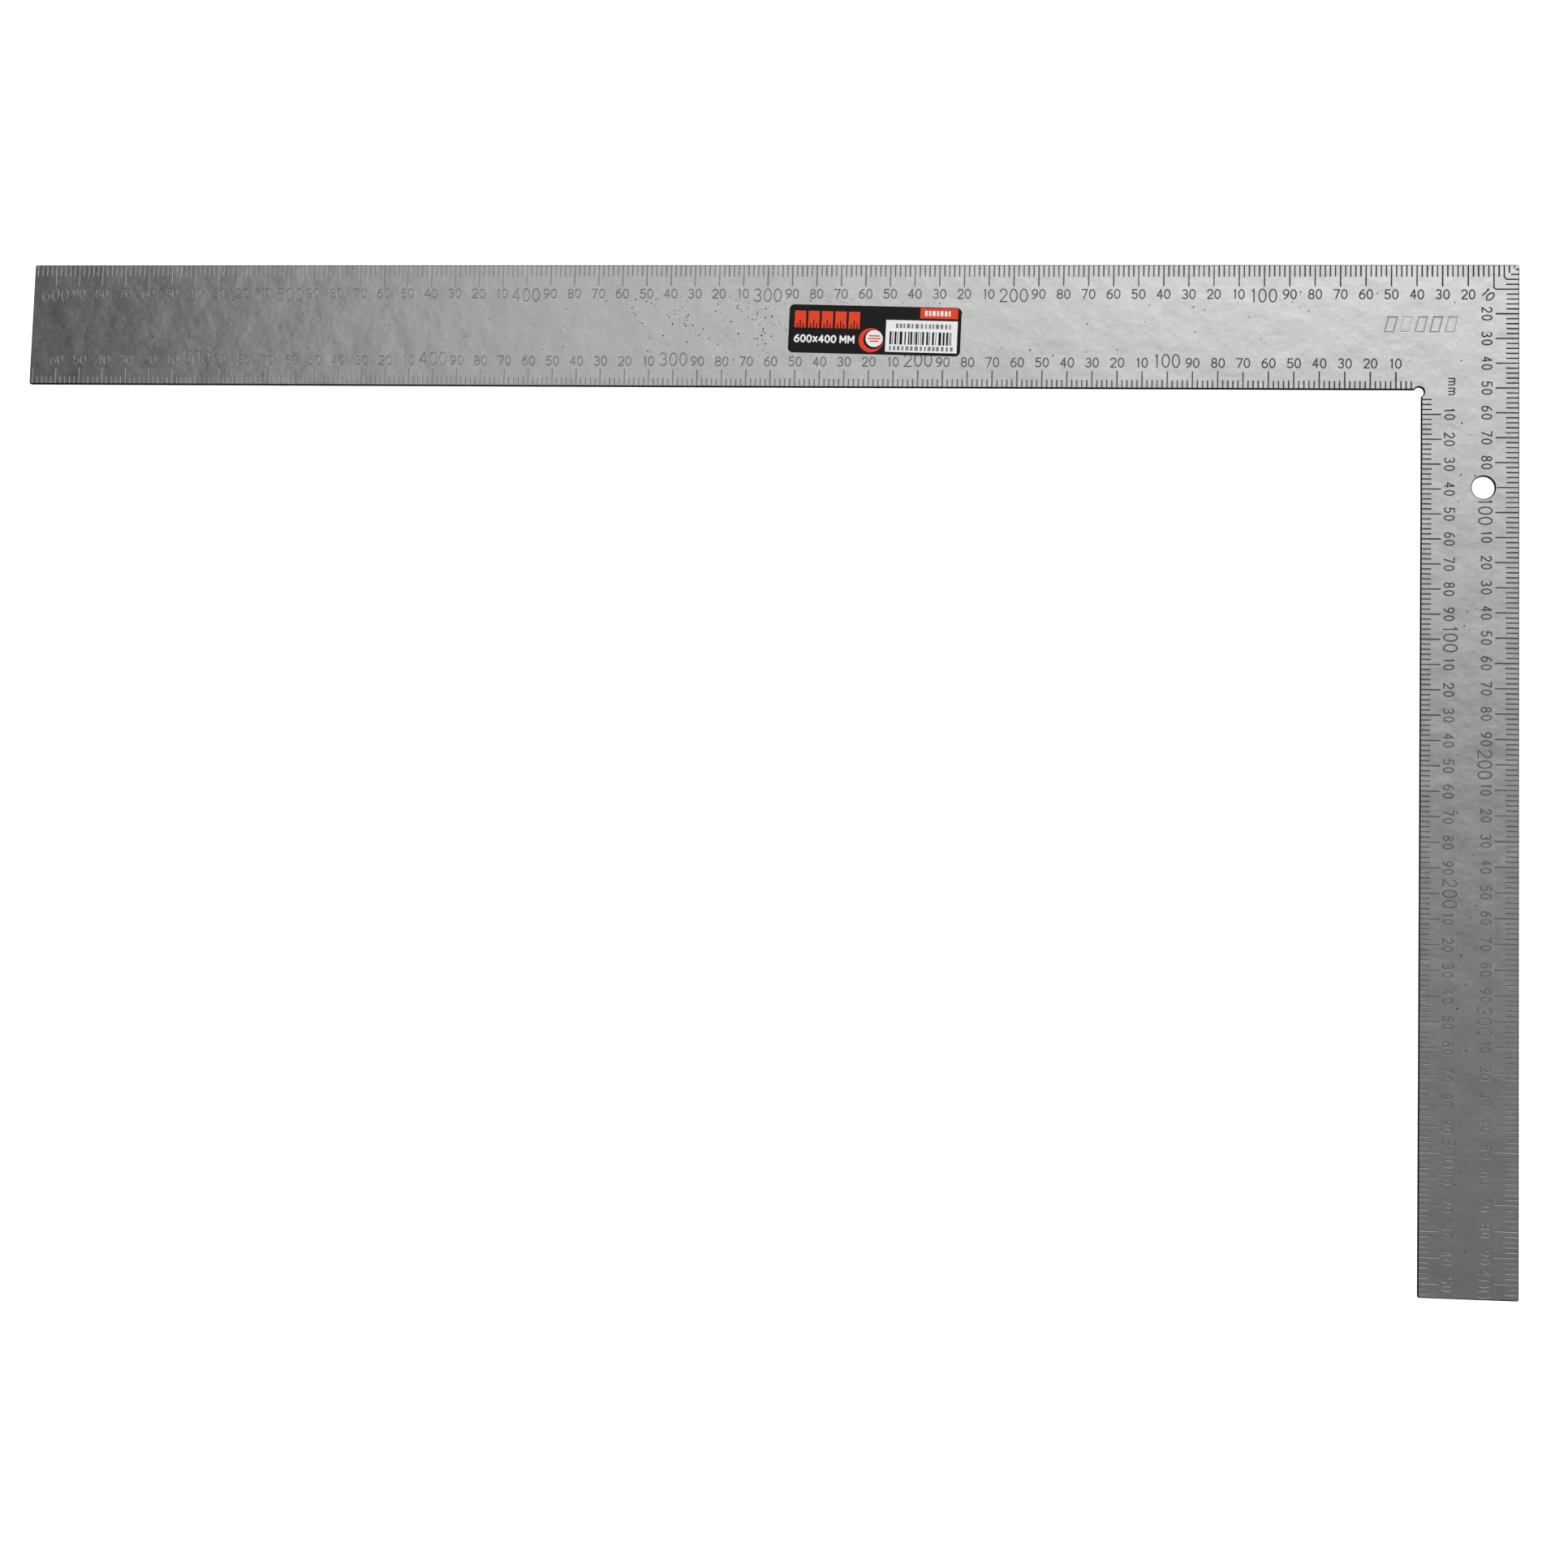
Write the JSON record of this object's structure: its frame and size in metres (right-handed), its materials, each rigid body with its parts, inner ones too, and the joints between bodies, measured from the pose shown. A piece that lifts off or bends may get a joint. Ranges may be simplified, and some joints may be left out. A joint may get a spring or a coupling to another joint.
{
  "type": "steel square ruler",
  "caption": "Flat L-shaped steel square with a long blade, a shorter tongue, stamped millimetre scales along its long edges, a hanging hole and a printed label.",
  "frame": {"origin": "under the middle of the bounding box, on the back face that the square lies on", "axes": "+X along the blade towards the heel, +Y across the blade towards its outside edge (the tongue runs towards -Y), +Z out of the marked face"},
  "size_m": [0.6096, 0.4064, 0.0025],
  "materials": {
    "steel": "plain matt steel, mottled, with dark stamped marks",
    "label": "black printed vinyl with orange-red and white panels"
  },
  "bodies": {
    "root": {"steel_square": "steel", "label": "label"}
  },
  "joints": []
}
